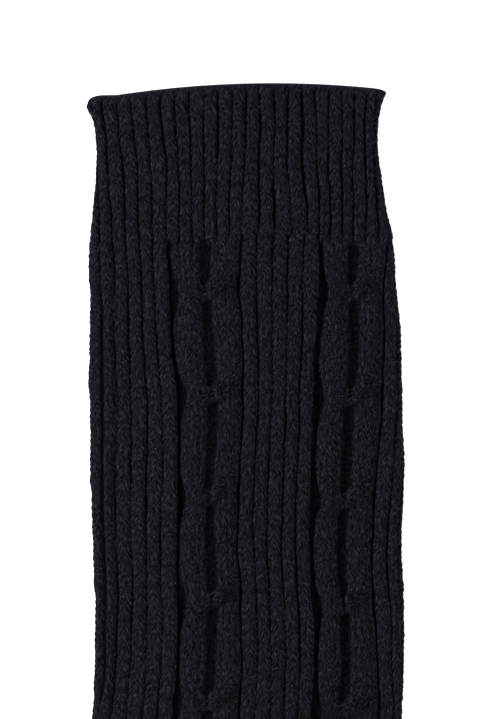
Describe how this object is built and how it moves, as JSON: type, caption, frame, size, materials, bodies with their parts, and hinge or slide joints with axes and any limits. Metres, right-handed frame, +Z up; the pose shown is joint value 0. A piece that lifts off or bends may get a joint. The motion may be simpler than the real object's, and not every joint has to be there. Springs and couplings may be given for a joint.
{
  "type": "knitted sock",
  "caption": "Knee-length knitted sock lying flat on its side, with a ribbed cuff, a leg of ribs and cable columns, a turned heel and a closed toe.",
  "frame": {"origin": "on the surface the sock lies on, under the middle of its bounding box", "axes": "+Y up the leg towards the open mouth, -X along the foot towards the toe, +Z up from the surface"},
  "size_m": [0.2402, 0.3782, 0.014],
  "materials": {
    "navy_yarn_knit": "chunky heathered navy wool-blend yarn, knitted in ribs and cables, matt and slightly hairy"
  },
  "bodies": {
    "root": {"cuff": "navy_yarn_knit", "leg": "navy_yarn_knit", "heel": "navy_yarn_knit", "foot": "navy_yarn_knit", "toe": "navy_yarn_knit"}
  },
  "joints": []
}
